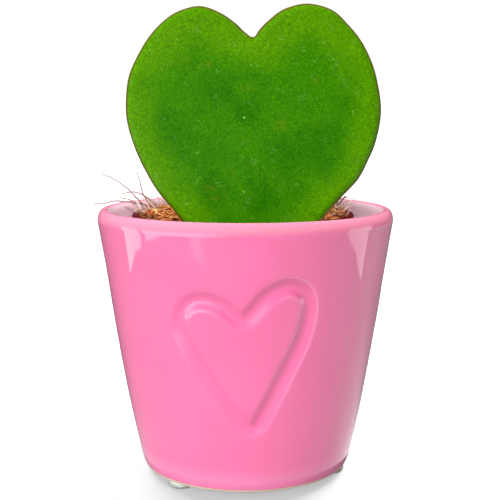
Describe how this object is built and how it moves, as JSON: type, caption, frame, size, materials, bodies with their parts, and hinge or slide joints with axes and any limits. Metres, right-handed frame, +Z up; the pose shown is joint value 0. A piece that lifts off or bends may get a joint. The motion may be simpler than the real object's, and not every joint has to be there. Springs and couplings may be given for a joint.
{
  "type": "potted hoya plant",
  "caption": "Heart-shaped succulent leaf rooted in a coir plug and nursery pot, standing in a small tapered glazed pot with a heart pressed into its front.",
  "frame": {"origin": "middle of the glazed pot, on the surface that its bumpers stand on", "axes": "+Z up; the pressed heart and the leaf's face look towards -Y"},
  "size_m": [0.07, 0.07, 0.1103],
  "materials": {
    "glaze": "gloss",
    "clear_rubber": "satin",
    "maroon_plastic": "satin",
    "coir": "matte",
    "leaf_skin": "satin",
    "coir_strand": "matte"
  },
  "bodies": {
    "root": {"cachepot": "glaze", "bumper_front_left": "clear_rubber", "bumper_right": "clear_rubber", "bumper_rear_left": "clear_rubber", "nursery_pot": "maroon_plastic", "coir_plug": "coir", "heart_leaf": "leaf_skin", "coir_fibre_01": "coir_strand", "coir_fibre_02": "coir_strand", "coir_fibre_03": "coir_strand", "coir_fibre_04": "coir_strand", "coir_fibre_05": "coir_strand", "coir_fibre_06": "coir_strand", "coir_fibre_07": "coir_strand", "coir_fibre_08": "coir_strand", "coir_fibre_09": "coir_strand", "coir_fibre_10": "coir_strand", "coir_fibre_11": "coir_strand", "coir_fibre_12": "coir_strand"}
  },
  "joints": []
}
